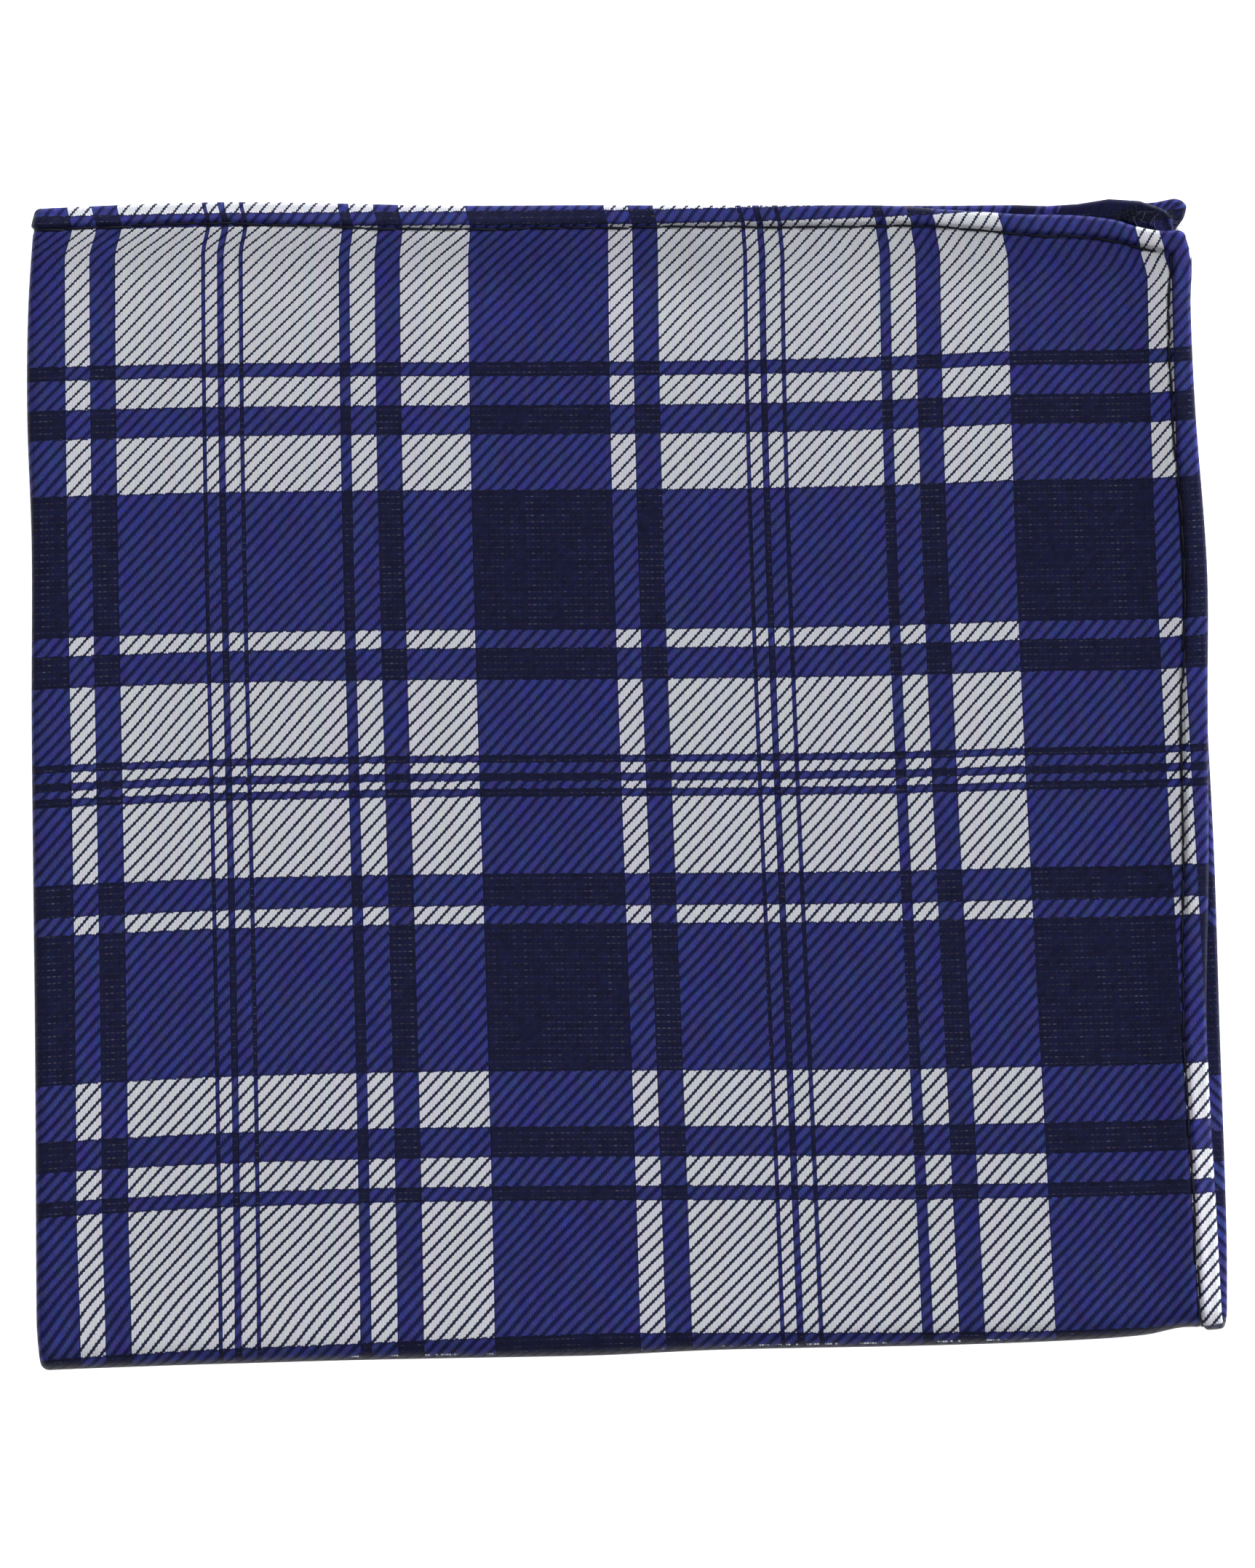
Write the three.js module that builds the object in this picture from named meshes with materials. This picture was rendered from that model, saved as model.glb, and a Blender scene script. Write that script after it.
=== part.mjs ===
// A hemmed woven square, folded once across and once down, lying flat on a table.
// Millimetres, +Z up, +X to the right along the bottom fold, +Y away from the reader.
// The origin is under the middle of the folded square, on the table.
import * as THREE from 'three';

// The sheet: one cloth, hemmed all round, with its face outwards once it is folded.
const CLOTH_THICKNESS = 1;
const LAYER_CLEARANCE = 0.35;
const FOLDED_WIDTH = 122.5;
const FOLDED_LENGTH = 121.5;

// The turned hem, which thickens the wrong side, and the groove that its stitches pull.
const HEM_WIDTH = 2.5;
const HEM_EXTRA = 0.08;
const STITCH_GROOVE = 0.12;
const EDGE_ROUNDING = 0.5;
const EDGE_THICKNESS_SHARE = 0.4;

// Sections of the mesh.
const SECTIONS_IN_A_FOLD = 6;
const FROM_EDGE = [0, 0.15, EDGE_ROUNDING, 1.6, HEM_WIDTH, 3.3, 5.5, 8.5, 12, 17, 24, 33, 43, 54];
const FROM_FOLD = [3, 8, 15, 25, 36, 47, 58];

// How the cloth lies: the layers swell where the hems stack up and at the folds.
const HEM_SWELL = 0.14;
const HEM_SWELL_WIDTH = 9;
const FOLD_SWELL = 0.05;
const FOLD_SWELL_WIDTH = 12;

// Soft rises and hollows of the top: middle, half width, half length and height as a share of the stack.
const WAVES = [
  { x: -13, y: 51, acrossReach: 9, alongReach: 6, share: -0.07 },
  { x: 5, y: 52, acrossReach: 10, alongReach: 7, share: -0.08 },
  { x: -40, y: 30, acrossReach: 26, alongReach: 20, share: 0.04 },
  { x: 34, y: 36, acrossReach: 24, alongReach: 18, share: 0.05 },
  { x: -6, y: -6, acrossReach: 34, alongReach: 24, share: -0.05 },
  { x: 44, y: -26, acrossReach: 20, alongReach: 26, share: 0.05 },
  { x: -34, y: -42, acrossReach: 24, alongReach: 12, share: 0.04 },
  { x: 54, y: 52, acrossReach: 9, alongReach: 8, share: 0.05 },
];

// The outline, measured along the cloth's own threads from the middle of the folded square.
// The left fold, from the bottom to the top.
const LEFT_FOLD = [
  { up: -61, reach: -60.6 },
  { up: -55, reach: -61.1 },
  { up: -20, reach: -61.2 },
  { up: 5, reach: -61.1 },
  { up: 24, reach: -60.8 },
  { up: 38, reach: -61.1 },
  { up: 50, reach: -60.9 },
  { up: 62, reach: -60.1 },
];
// The bottom fold, from the left to the right.
const BOTTOM_FOLD = [
  { across: -61, reach: -59.85 },
  { across: -50, reach: -60.25 },
  { across: -35, reach: -60.55 },
  { across: -6, reach: -60.55 },
  { across: 9, reach: -59.95 },
  { across: 31, reach: -59.55 },
  { across: 46, reach: -59.15 },
  { across: 53, reach: -58.75 },
  { across: 57, reach: -58.05 },
  { across: 61, reach: -58.35 },
];
// The top hem of each layer, the first on top.
const TOP_HEM = [
  { across: -61, first: 61.7, second: 61.7, third: 61.7, fourth: 61.7 },
  { across: -41, first: 62.2, second: 62.1, third: 61.9, fourth: 61.8 },
  { across: -18, first: 61.8, second: 61.7, third: 61.6, fourth: 61.5 },
  { across: 0, first: 61.8, second: 61.6, third: 61.4, fourth: 61.3 },
  { across: 28, first: 61.2, second: 61.2, third: 60.8, fourth: 60.6 },
  { across: 36, first: 60.3, second: 60.9, third: 60.6, fourth: 60.3 },
  { across: 44, first: 59.3, second: 60.5, third: 60.3, fourth: 60 },
  { across: 50, first: 58.9, second: 60, third: 59.7, fourth: 59.4 },
  { across: 54, first: 58.3, second: 60.5, third: 59.7, fourth: 59.4 },
  { across: 57, first: 57.2, second: 59.7, third: 59.5, fourth: 59.2 },
  { across: 59.5, first: 56.4, second: 58.8, third: 59.8, fourth: 59.1 },
  { across: 61, first: 56, second: 58.2, third: 59.3, fourth: 58.4 },
];
// The right hem of each layer, from the bottom to the top.
const RIGHT_HEM = [
  { up: -61, first: 59.5, second: 60, third: 60, fourth: 60.2 },
  { up: -50, first: 59.6, second: 60.6, third: 60.5, fourth: 60.3 },
  { up: -28, first: 59.8, second: 61.2, third: 61, fourth: 60.6 },
  { up: -10, first: 61, second: 61.7, third: 61.4, fourth: 61 },
  { up: 8, first: 61.9, second: 61.8, third: 61.6, fourth: 61.4 },
  { up: 22, first: 62.5, second: 62, third: 61.8, fourth: 61.6 },
  { up: 40, first: 61.9, second: 61.6, third: 61.6, fourth: 61.3 },
  { up: 52, first: 61.7, second: 61, third: 61.2, fourth: 60.6 },
  { up: 57, first: 61.9, second: 60.2, third: 60.2, fourth: 59.8 },
  { up: 59, first: 61.5, second: 60, third: 61.3, fourth: 60 },
  { up: 61, first: 61, second: 59.8, third: 61.7, fourth: 60.3 },
];

// How the threads lean and spread on the table: each row adds x and y, in proportion to
// the distance across and up, in units of GRAIN_SPAN, raised to the row's powers.
const GRAIN_SPAN = 60;
const GRAIN = [
  { across: 0, up: 0, x: -0.73, y: 0.82 },
  { across: 1, up: 0, x: 59.91, y: 0.29 },
  { across: 0, up: 1, x: -2.19, y: 60.54 },
  { across: 1, up: 1, x: -1.19, y: 0 },
  { across: 0, up: 2, x: 0.34, y: -1.04 },
  { across: 0, up: 3, x: 0.49, y: -1.6 },
  { across: 1, up: 2, x: 0.48, y: 0 },
  { across: 2, up: 0, x: -0.27, y: 0.19 },
  { across: 2, up: 1, x: 0, y: 0.94 },
  { across: 3, up: 0, x: 0, y: 1.15 },
];

// Worked out from the sizes above.
const HALF_THICKNESS = CLOTH_THICKNESS / 2;
const LAYER_PITCH = CLOTH_THICKNESS + LAYER_CLEARANCE;
const FOLD_RADIUS = LAYER_PITCH / 2;
const PAIR_FOLD_RADIUS = LAYER_PITCH;
const MIDDLE_HEIGHT = PAIR_FOLD_RADIUS + FOLD_RADIUS + HALF_THICKNESS;

const clamp01 = (value) => Math.min(1, Math.max(0, value));
const easeAway = (distance, width) => {
  const left = 1 - clamp01(distance / width);
  return left * left * (3 - 2 * left);
};

// A smooth curve through one column of a table, with each slope taken from the rows beside it.
function readTable(rows, where, column, at) {
  const last = rows.length - 1;
  let row = 0;
  while (row < last - 1 && at > rows[row + 1][where]) row += 1;
  const slope = (k) => {
    const before = rows[Math.max(k - 1, 0)];
    const after = rows[Math.min(k + 1, last)];
    return (after[column] - before[column]) / (after[where] - before[where]);
  };
  const start = rows[row];
  const end = rows[row + 1];
  const step = end[where] - start[where];
  const t = clamp01((at - start[where]) / step);
  const bend = t * t * (3 - 2 * t);
  return start[column] * (1 - bend) + end[column] * bend
    + slope(row) * step * t * (1 - t) * (1 - t) - slope(row + 1) * step * t * t * (1 - t);
}

// The place on the table of a point given along the threads.
function onTable(across, up) {
  let x = 0;
  let y = 0;
  for (const term of GRAIN) {
    const share = (across / GRAIN_SPAN) ** term.across * (up / GRAIN_SPAN) ** term.up;
    x += term.x * share;
    y += term.y * share;
  }
  return { x, y };
}

// A half turn of the given radius and a straight run after it. travel is the way along the cloth from
// the middle of the turn, and offset is how far the point lies outside that radius. share goes from
// 0 on the one side of the turn to 1 on the other.
function bendRound(travel, radius, offset) {
  const quarter = (radius * Math.PI) / 2;
  const angle = clamp01(Math.abs(travel) / quarter) * (Math.PI / 2);
  const reach = radius + offset;
  const beyond = Math.max(0, Math.abs(travel) - quarter);
  const rise = Math.sign(travel) * Math.sin(angle);
  return { in: radius - reach * Math.cos(angle) + beyond, side: reach * rise, share: (1 + rise) / 2 };
}

// One reach for all four layers of a hem's table, mixed where the cloth turns from one layer to the next.
function hemReach(rows, where, at, outer, upper) {
  const mix = (inside, outside) => inside + (outside - inside) * outer;
  const below = mix(readTable(rows, where, 'third', at), readTable(rows, where, 'fourth', at));
  const above = mix(readTable(rows, where, 'second', at), readTable(rows, where, 'first', at));
  return below + (above - below) * upper;
}

// The share of the stack's height by which it swells or sinks at a place.
function swell(fromLeft, fromBottom, fromRight, fromTop, x, y) {
  const hems = Math.hypot(easeAway(fromRight, HEM_SWELL_WIDTH), easeAway(fromTop, HEM_SWELL_WIDTH));
  const folds = Math.hypot(easeAway(fromLeft, FOLD_SWELL_WIDTH), easeAway(fromBottom, FOLD_SWELL_WIDTH));
  let share = 1 + HEM_SWELL * hems + FOLD_SWELL * folds;
  for (const wave of WAVES) {
    const out = ((x - wave.x) / wave.acrossReach) ** 2 + ((y - wave.y) / wave.alongReach) ** 2;
    share += wave.share * Math.exp(-out);
  }
  return share;
}

// How far the face and the wrong side lie from the middle of the cloth at a distance from its hem's edge.
function skinOffsets(fromEdge) {
  if (fromEdge < EDGE_ROUNDING) {
    const round = Math.sqrt(1 - (1 - fromEdge / EDGE_ROUNDING) ** 2);
    const share = EDGE_THICKNESS_SHARE + (1 - EDGE_THICKNESS_SHARE) * round;
    return { face: HALF_THICKNESS * share, back: HALF_THICKNESS * share };
  }
  if (fromEdge < HEM_WIDTH) return { face: HALF_THICKNESS, back: HALF_THICKNESS + HEM_EXTRA };
  if (fromEdge === HEM_WIDTH) return { face: HALF_THICKNESS - STITCH_GROOVE, back: HALF_THICKNESS };
  return { face: HALF_THICKNESS, back: HALF_THICKNESS };
}

// The place in space of one point of the cloth. across and down are signed ways along the cloth from
// its two folds: across is positive on the first and fourth layers, down on the first and second.
function pointOfCloth(across, down, halfWidth, halfLength, isFace) {
  const fromEdge = Math.min(halfWidth - Math.abs(across), halfLength - Math.abs(down));
  const skin = skinOffsets(fromEdge);
  const offset = isFace ? skin.face : -skin.back;
  const pair = bendRound(across, FOLD_RADIUS, offset);
  const stack = bendRound(down, PAIR_FOLD_RADIUS, pair.side);
  const fromLeft = pair.in + HALF_THICKNESS;
  const fromBottom = stack.in + FOLD_RADIUS + HALF_THICKNESS;

  const shareAcross = fromLeft / FOLDED_WIDTH;
  const shareUp = fromBottom / FOLDED_LENGTH;
  const nearAcross = FOLDED_WIDTH * (shareAcross - 0.5);
  const nearUp = FOLDED_LENGTH * (shareUp - 0.5);
  const left = readTable(LEFT_FOLD, 'up', 'reach', nearUp);
  const right = hemReach(RIGHT_HEM, 'up', nearUp, pair.share, stack.share);
  const bottom = readTable(BOTTOM_FOLD, 'across', 'reach', nearAcross);
  const top = hemReach(TOP_HEM, 'across', nearAcross, pair.share, stack.share);
  const { x, y } = onTable(left + (right - left) * shareAcross, bottom + (top - bottom) * shareUp);

  const height = MIDDLE_HEIGHT + stack.side;
  const lift = swell(fromLeft, fromBottom, FOLDED_WIDTH - fromLeft, FOLDED_LENGTH - fromBottom, x, y);
  return [x, y, height * lift];
}

// Where the mesh has its sections along one way of the cloth, from edge to edge.
function sections(half, radius) {
  const quarter = (radius * Math.PI) / 2;
  const flat = [
    ...FROM_EDGE.map((distance) => half - distance),
    ...FROM_FOLD.map((distance) => quarter + distance),
  ].sort((a, b) => a - b);
  const turn = [];
  for (let k = 0; k <= SECTIONS_IN_A_FOLD; k += 1) turn.push(quarter * ((2 * k) / SECTIONS_IN_A_FOLD - 1));
  return [...flat.map((distance) => -distance).reverse(), ...turn, ...flat];
}

function foldedCloth() {
  const halfWidth = FOLDED_WIDTH - HALF_THICKNESS - FOLD_RADIUS + (FOLD_RADIUS * Math.PI) / 2;
  const outermost = PAIR_FOLD_RADIUS + FOLD_RADIUS + HALF_THICKNESS;
  const halfLength = FOLDED_LENGTH - outermost + (PAIR_FOLD_RADIUS * Math.PI) / 2;
  const acrossSections = sections(halfWidth, FOLD_RADIUS);
  const downSections = sections(halfLength, PAIR_FOLD_RADIUS);
  const columns = acrossSections.length;
  const rows = downSections.length;
  const positions = [];
  for (const isFace of [true, false]) {
    for (const down of downSections) {
      for (const across of acrossSections) {
        positions.push(...pointOfCloth(across, down, halfWidth, halfLength, isFace));
      }
    }
  }

  const triangles = [];
  const quad = (a, b, c, d) => triangles.push(a, b, c, a, c, d);
  const face = (row, column) => row * columns + column;
  const back = (row, column) => rows * columns + face(row, column);
  for (let row = 0; row + 1 < rows; row += 1) {
    for (let column = 0; column + 1 < columns; column += 1) {
      quad(face(row, column), face(row, column + 1), face(row + 1, column + 1), face(row + 1, column));
      quad(back(row, column), back(row + 1, column), back(row + 1, column + 1), back(row, column + 1));
    }
  }
  const lastRow = rows - 1;
  const lastColumn = columns - 1;
  for (let column = 0; column < lastColumn; column += 1) {
    quad(face(0, column), back(0, column), back(0, column + 1), face(0, column + 1));
    quad(face(lastRow, column + 1), back(lastRow, column + 1), back(lastRow, column), face(lastRow, column));
  }
  for (let row = 0; row < lastRow; row += 1) {
    quad(face(row + 1, 0), back(row + 1, 0), back(row, 0), face(row, 0));
    quad(face(row, lastColumn), back(row, lastColumn), back(row + 1, lastColumn), face(row + 1, lastColumn));
  }

  const geometry = new THREE.BufferGeometry();
  geometry.setAttribute('position', new THREE.Float32BufferAttribute(positions, 3));
  geometry.setIndex(triangles);
  geometry.computeVertexNormals();
  return geometry;
}

const cloth = new THREE.Mesh(
  foldedCloth(),
  new THREE.MeshStandardMaterial({ color: 0x2e2f80, roughness: 0.55, metalness: 0 }),
);
cloth.name = 'folded_cloth';

const pocketSquare = new THREE.Group();
pocketSquare.add(cloth);

export default pocketSquare;
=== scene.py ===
"""A plaid pocket square, hemmed all round and folded once across and once down.

One sheet of twill runs over both folds, with the same outline as the frame's cloth. Its hems
are turned and stitched, and its plaid follows the threads. Shapes are worked out in millimetres.
"""
import math

import bpy
import numpy as np
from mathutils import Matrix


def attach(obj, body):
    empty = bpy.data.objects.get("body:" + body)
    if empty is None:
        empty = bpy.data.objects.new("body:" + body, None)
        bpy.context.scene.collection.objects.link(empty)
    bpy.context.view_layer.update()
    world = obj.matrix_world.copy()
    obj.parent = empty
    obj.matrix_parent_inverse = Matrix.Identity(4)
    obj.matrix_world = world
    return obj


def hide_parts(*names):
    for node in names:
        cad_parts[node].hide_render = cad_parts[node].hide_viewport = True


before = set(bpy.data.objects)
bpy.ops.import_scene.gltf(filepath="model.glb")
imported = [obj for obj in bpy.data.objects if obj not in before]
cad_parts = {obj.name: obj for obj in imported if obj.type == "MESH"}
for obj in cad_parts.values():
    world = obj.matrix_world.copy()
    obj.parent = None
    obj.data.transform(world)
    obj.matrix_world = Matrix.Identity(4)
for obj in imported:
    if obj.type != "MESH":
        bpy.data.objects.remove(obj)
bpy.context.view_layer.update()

MM = 0.001

# The sheet and its stack of four layers.
SHEET = 0.45
LAYER_PITCH = 1.25
FOLDED_WIDTH = 122.5
FOLDED_LENGTH = 121.5

# The turned hem. Its face climbs from a low start at the edge to a crest beside the stitches,
# and its wrong side is thicker up to a soft step.
HEM_CREST = 0.26
HEM_CREST_PLACE = 0.82
HEM_CREST_START = 0.1
HEM_UNDERSIDE = 0.4
HEM_STEP = 0.25
EDGE_ROUNDING = 0.5
CORNER_ROUNDING = 0.7

# The groove that the stitches pull, and the share of its depth that comes only at their holes.
GROOVE_DEPTH = 0.16
GROOVE_WIDTH = 0.3
HOLE_SHARE = 0.25

# The hem's stitches, which end short of the corner. The thread lies lower and thinner at a
# hole than in the middle of a stitch: its depth and lift are in widths of thread, and at a
# hole it has the given share of its width.
STITCH_LENGTH = 3.5
STITCH_GAP = 0.04
STITCH_WAVE = 0.08
STITCH_CLEARANCE = 2.2
STITCH_BULGE = 0.35
STITCH_STEPS = 9
STITCH_SIDES = 6
THREAD = 0.27
THREAD_SUNK = 0.08
THREAD_LIFT = 0.4
THREAD_AT_HOLE = 0.8

# The length of cloth over which the layer underneath takes up its longer way round the fold.
UNDER_EASE = 30

# How the layers swell at the hems and the folds, as a share of the stack's height.
HEM_SWELL = 0.14
HEM_SWELL_WIDTH = 9
FOLD_SWELL = 0.05
FOLD_SWELL_WIDTH = 12

# How far the hems droop at their edges, as a share of the same height. The top one changes
# from its right end to its left one, and the right one from its upper end to its lower one,
# from the named place on and over the named spread. Below 0 the hem rises.
DROOP_WIDTH = 3.2
TOP_DROOP_RIGHT = -0.05
TOP_DROOP_LEFT = 0.1
TOP_DROOP_FROM = 20
TOP_DROOP_SPREAD = 40
RIGHT_DROOP_UPPER = -0.02
RIGHT_DROOP_LOWER = 0.19
RIGHT_DROOP_FROM = -12
RIGHT_DROOP_SPREAD = 30

# Bell shaped rises and hollows: the middle, the reach each way and the share of the height.
WAVES = np.array(
    [
        (-13, 51, 5.5, 4.5, -0.08),
        (4.5, 52, 6, 4.5, -0.09),
        (-40, 30, 26, 20, 0.04),
        (34, 36, 24, 18, 0.05),
        (-6, -6, 34, 24, -0.05),
        (44, -26, 20, 26, 0.05),
        (-34, -42, 24, 12, 0.04),
        (54, 52, 9, 8, 0.05),
    ],
    dtype=[("x", float), ("y", float), ("across_reach", float), ("up_reach", float), ("share", float)],
)

# The outline, along the cloth's own threads from the middle of the folded square. The points
# were picked from a script's readings of the cloth's edge in the photograph, and some were
# moved by hand. Most of the lower layers' reaches are guessed.
FOLD_COLUMNS = [("at", float), ("reach", float)]
LEFT_FOLD = np.array(
    [
        (-61, -60.6),
        (-55, -61.1),
        (-20, -61.2),
        (5, -61.1),
        (24, -60.8),
        (38, -61.1),
        (50, -60.9),
        (62, -60.1),
    ],
    dtype=FOLD_COLUMNS,
)
BOTTOM_FOLD = np.array(
    [
        (-61, -59.85),
        (-50, -60.25),
        (-35, -60.55),
        (-6, -60.55),
        (9, -59.95),
        (31, -59.55),
        (46, -59.15),
        (53, -58.75),
        (57, -58.05),
        (61, -58.35),
    ],
    dtype=FOLD_COLUMNS,
)
HEM_COLUMNS = [("at", float), ("first", float), ("second", float), ("third", float), ("fourth", float)]
TOP_HEM = np.array(
    [
        (-61, 61.7, 61.7, 61.7, 61.7),
        (-41, 62.2, 62.1, 61.9, 61.8),
        (-18, 61.8, 61.7, 61.6, 61.5),
        (0, 61.8, 61.6, 61.4, 61.3),
        (28, 61.2, 61.2, 60.8, 60.6),
        (36, 60.3, 60.9, 60.6, 60.3),
        (44, 59.3, 60.5, 60.3, 60),
        (50, 58.7, 60, 59.7, 59.4),
        (54, 57.85, 60.5, 59.7, 59.4),
        (55.2, 57.3, 60.1, 59.6, 59.3),
        (56.6, 56.75, 60.3, 59.5, 59.2),
        (58.5, 56.2, 59.5, 59.7, 59.1),
        (60, 56.05, 58.8, 59.8, 58.9),
        (61, 56, 58.2, 59.3, 58.4),
    ],
    dtype=HEM_COLUMNS,
)
RIGHT_HEM = np.array(
    [
        (-61, 59.5, 60, 60, 60.2),
        (-50, 59.6, 60.6, 60.5, 60.3),
        (-28, 59.8, 61.2, 61, 60.6),
        (-10, 61, 61.7, 61.4, 61),
        (8, 61.9, 61.8, 61.6, 61.4),
        (22, 62.5, 62, 61.8, 61.6),
        (40, 61.9, 61.6, 61.6, 61.3),
        (52, 61.7, 61, 61.2, 60.6),
        (57, 61.9, 60.2, 60.2, 59.8),
        (59, 61.5, 60, 61.3, 60),
        (61, 61, 59.8, 61.7, 60.3),
    ],
    dtype=HEM_COLUMNS,
)

# The hem's width, from its edge to its stitches, along the top and the right of each layer.
SEAM_COLUMNS = [("at", float), ("width", float)]
TOP_SEAM = np.array(
    [(-61, 2.5), (-44, 2.5), (-30, 2.8), (-14, 2.75), (8, 2.55), (24, 2.6), (36, 2.2), (50, 2.7), (61, 2.7)],
    dtype=SEAM_COLUMNS,
)
RIGHT_SEAM = np.array(
    [(-61, 2.35), (-34, 2.4), (-6, 2.75), (8, 2.8), (22, 2.4), (45, 2.45), (57, 2.2)], dtype=SEAM_COLUMNS
)

# How the threads lean and spread: each row adds x and y, in proportion to the distance
# across and up in units of GRAIN_SPAN, raised to the row's powers. The numbers come from a
# least-squares fit to the places of the stripes in the photograph.
GRAIN_SPAN = 60
GRAIN = np.array(
    [
        (0, 0, -0.73, 0.82),
        (1, 0, 59.91, 0.29),
        (0, 1, -2.19, 60.54),
        (1, 1, -1.19, 0),
        (0, 2, 0.34, -1.04),
        (0, 3, 0.49, -1.6),
        (1, 2, 0.48, 0),
        (2, 0, -0.27, 0.19),
        (2, 1, 0, 0.94),
        (3, 0, 0, 1.15),
    ],
    dtype=[("across", int), ("up", int), ("x", float), ("y", float)],
)

# Loose fibres at the open corner: the middle, the spread and the length of each group. Each
# fibre's own length and thickness lie between two shares of the plain ones.
FIBRE = 0.045
FIBRE_LENGTHS = (0.4, 1.3)
FIBRE_THICKNESSES = (0.6, 1.3)
FIBRE_BEND = 0.07
FIBRE_TAPER = 0.7
FIBRE_STEPS = 7
FIBRE_SIDES = 5
FIBRE_COLUMNS = [
    ("x", float), ("y", float), ("z", float), ("wide", float), ("deep", float), ("high", float),
    ("length", float), ("count", int),
]
# The first dark group is a dense tuft of frayed threads that also fills the gap under the corner with
# painted shade.
DARK_FIBRES_AND_SHADE = np.array(
    [
        (53.9, 59.2, 4.1, 3.0, 0.7, 0.3, 1.5, 160),
        (55.4, 57.9, 4.4, 1.8, 0.5, 0.2, 1.8, 30),
        (56.6, 57.9, 4.2, 0.5, 0.3, 0.1, 2.6, 5),
    ],
    dtype=FIBRE_COLUMNS,
)
PALE_FIBRES = np.array(
    [
        (56.2, 58.5, 3.9, 0.7, 0.8, 0.2, 0.9, 26),
        (53.4, 59.0, 4.4, 2.4, 0.6, 0.2, 1.5, 7),
    ],
    dtype=FIBRE_COLUMNS,
)

# The weave: five yarns and five picks to each twill line. Inside a yarn the line climbs more
# slowly than from one yarn to the next, and over a long way it wanders.
YARN = 0.267
PICK = 0.281
TWILL_YARNS = 5
TWILL_RELIEF = 0.07
CLIMB_IN_YARN = 0.5
LINE_WANDER = 1.0

# How much painted shade darkens a white yarn from its middle to its rounded sides, how much the
# tone changes from yarn to yarn and from crossing to crossing, the last more on blue, and how
# much the blue hue drifts.
YARN_SIDE_PAINTED_SHADE = 0.16
YARN_VARIES = 0.08
CROSSING_VARIES = 0.05
BLUE_CROSSING_VARIES = 0.13
HUE_DRIFTS = 0.35

# Half the width of a twill line on white and on blue. It is more at a yarn's sides and less
# towards the top hem, and it varies.
WHITE_LINE = 0.152
BLUE_LINE = 0.27
LINE_AT_SIDES = 0.1
LINE_FALL = -0.0006
LINE_VARIES = 0.14

# The edges of the bands. The level ones climb with each twill line, round off at each yarn and
# end unevenly, and a soft painted shade lies just inside the edges of both kinds.
TOOTH = 0.08
TOOTH_LOW = 0.3
YARN_END = -0.08
FRAY = 0.1
BAND_SOFTNESS = 0.04
SIDE_PAINTED_SHADE_WIDTH = 0.13
SIDE_PAINTED_SHADE_STRENGTH = 0.35
FOOT_PAINTED_SHADE_WIDTH = 0.2
FOOT_PAINTED_SHADE_STRENGTH = 0.5

# The lower fold: a painted shade along its rim, and beside it a pale bead of single white yarns
# that starts further in, partly their own white and partly painted glints.
RIM_WIDTH = 0.85
RIM_SOFTNESS = 0.5
RIM_PAINTED_SHADE_STRENGTH = 0.93
BEAD_PLACE = 0.85
BEAD_HALF_WIDTH = 0.09
BEAD_START = -33

# The pale dashes of the navy cloth.
DASH_COLUMN = 0.54
DASH_ROW = 0.675
DASH_LENGTH = 0.34
DASH_HEIGHT = 0.1
DASH_STRENGTH = 0.75

# How far apart the random values of two picks, and of two rows of dashes, are numbered.
PICK_NUMBERS = 613
ROW_NUMBERS = 37

# The plaid, in widths of cloth: the bands across start with a white one and alternate with
# blue, and the bands down start with the blue one beside the top hem's edge. The widths come
# from fits to the places of the stripes in the photograph, and a few were changed.
ACROSS_START = -57.0
ACROSS_BANDS = [2.55, 2.69, 9.0, 0.43, 1.24, 0.70, 1.56, 0.44, 10.07, 1.14, 2.64, 2.65, 7.18, 14.79]
DOWN_START = 61.25
DOWN_BANDS = [
    1.68, 15.52, 1.57, 3.19, 3.22, 5.95, 14.85, 1.87, 3.30, 7.83, 0.78, 1.05,
    0.88, 0.74, 0.87, 7.91, 3.32, 1.79, 15.25, 5.74, 3.20, 3.03, 1.56, 14.06,
    3.6, 11.1,
]

# How the seams draw the plaid. The top hem gathers the upright stripes, skews them and tilts
# the level ones, the right hem pulls the level ones down, most at the top, and at the left of
# the lower fold both kinds slip. The right pull and the slant come from a fit, and the others
# were set by trial.
TOP_GATHER = 0.013
TOP_GATHER_REACH = 3.5
TOP_SKEW = 0.5
TOP_TILT = -0.006
TOP_TILT_REACH = 8
LOW_DROP = 1.0
LOW_DROP_REACH = 8
LOW_DROP_END = 5
LOW_DROP_SPREAD = 40
LOW_SHIFT = 0.5
LOW_SHIFT_ACROSS = 28
LOW_SHIFT_UP = 18
RIGHT_PULL = 0.52
RIGHT_PULL_RISE = 0.66
RIGHT_PULL_REACH = 22
SLANT = -0.14

# How the second layer's stripes lie beside the top one's. Near the top they slip sideways,
# further from the first fold they lie higher, and no white band shows past the top hem.
UNDER_SLIP = -2.4
UNDER_SLIP_REACH = 60
UNDER_SLIP_DEPTH = 45
UNDER_RISE = 1.4
UNDER_COVER = 0.5

# The mesh: the steps between its lines on the seen and the hidden side of a fold, and how many
# lines go round an edge, over a hem and round a quarter of a fold. The close lines of a hem
# reach a little past its stitches.
SEEN_STEP = 0.85
HIDDEN_STEP = 3.4
EDGE_LINES = 6
HEM_LINES = 14
TURN_LINES = 5
PAST_HEM = 0.6

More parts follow.
